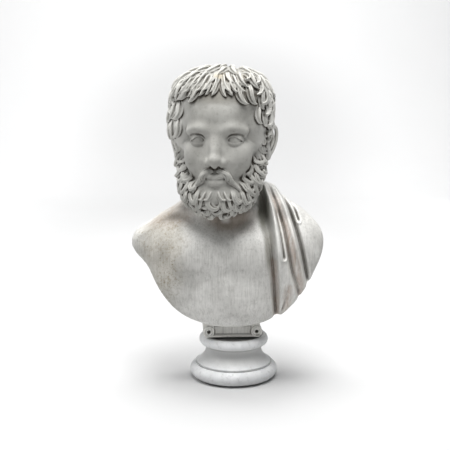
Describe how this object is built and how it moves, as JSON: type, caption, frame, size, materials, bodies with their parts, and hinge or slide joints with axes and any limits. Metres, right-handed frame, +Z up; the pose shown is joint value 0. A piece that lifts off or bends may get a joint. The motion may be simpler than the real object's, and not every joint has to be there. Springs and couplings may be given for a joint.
{
  "type": "marble bust",
  "caption": "Bearded man's head on a cut-off bare chest draped over one shoulder, on an index tablet and a round turned socle.",
  "frame": {"origin": "on the socle's axis, at the rest plane under the felt pad", "axes": "+Z up, -Y the way the figure's chest faces, +X to the viewer's right, towards the draped shoulder"},
  "size_m": [0.356, 0.2254, 0.5896],
  "materials": {
    "head_marble": "honed, grey white, dirt in the carving",
    "bust_marble": "honed, fine vertical tool streaks, brown stains",
    "tablet_marble": "honed, greyer than the bust",
    "socle_marble": "turned and honed, faint grey clouds",
    "mortar": "matt fine mortar",
    "steel": "plain stainless steel",
    "felt": "pressed wool felt"
  },
  "bodies": {
    "root": {"head": "head_marble", "neck_dowel": "steel", "neck_mortar": "mortar", "torso": "bust_marble", "torso_bed": "mortar", "torso_pins": "steel", "index_tablet": "tablet_marble", "tablet_bed": "mortar", "tablet_pins": "steel", "socle": "socle_marble", "tie_rod": "steel", "rod_grout": "mortar", "flat_washer": "steel", "spring_washer": "steel", "hex_nut": "steel", "felt_pad": "felt"}
  },
  "joints": []
}
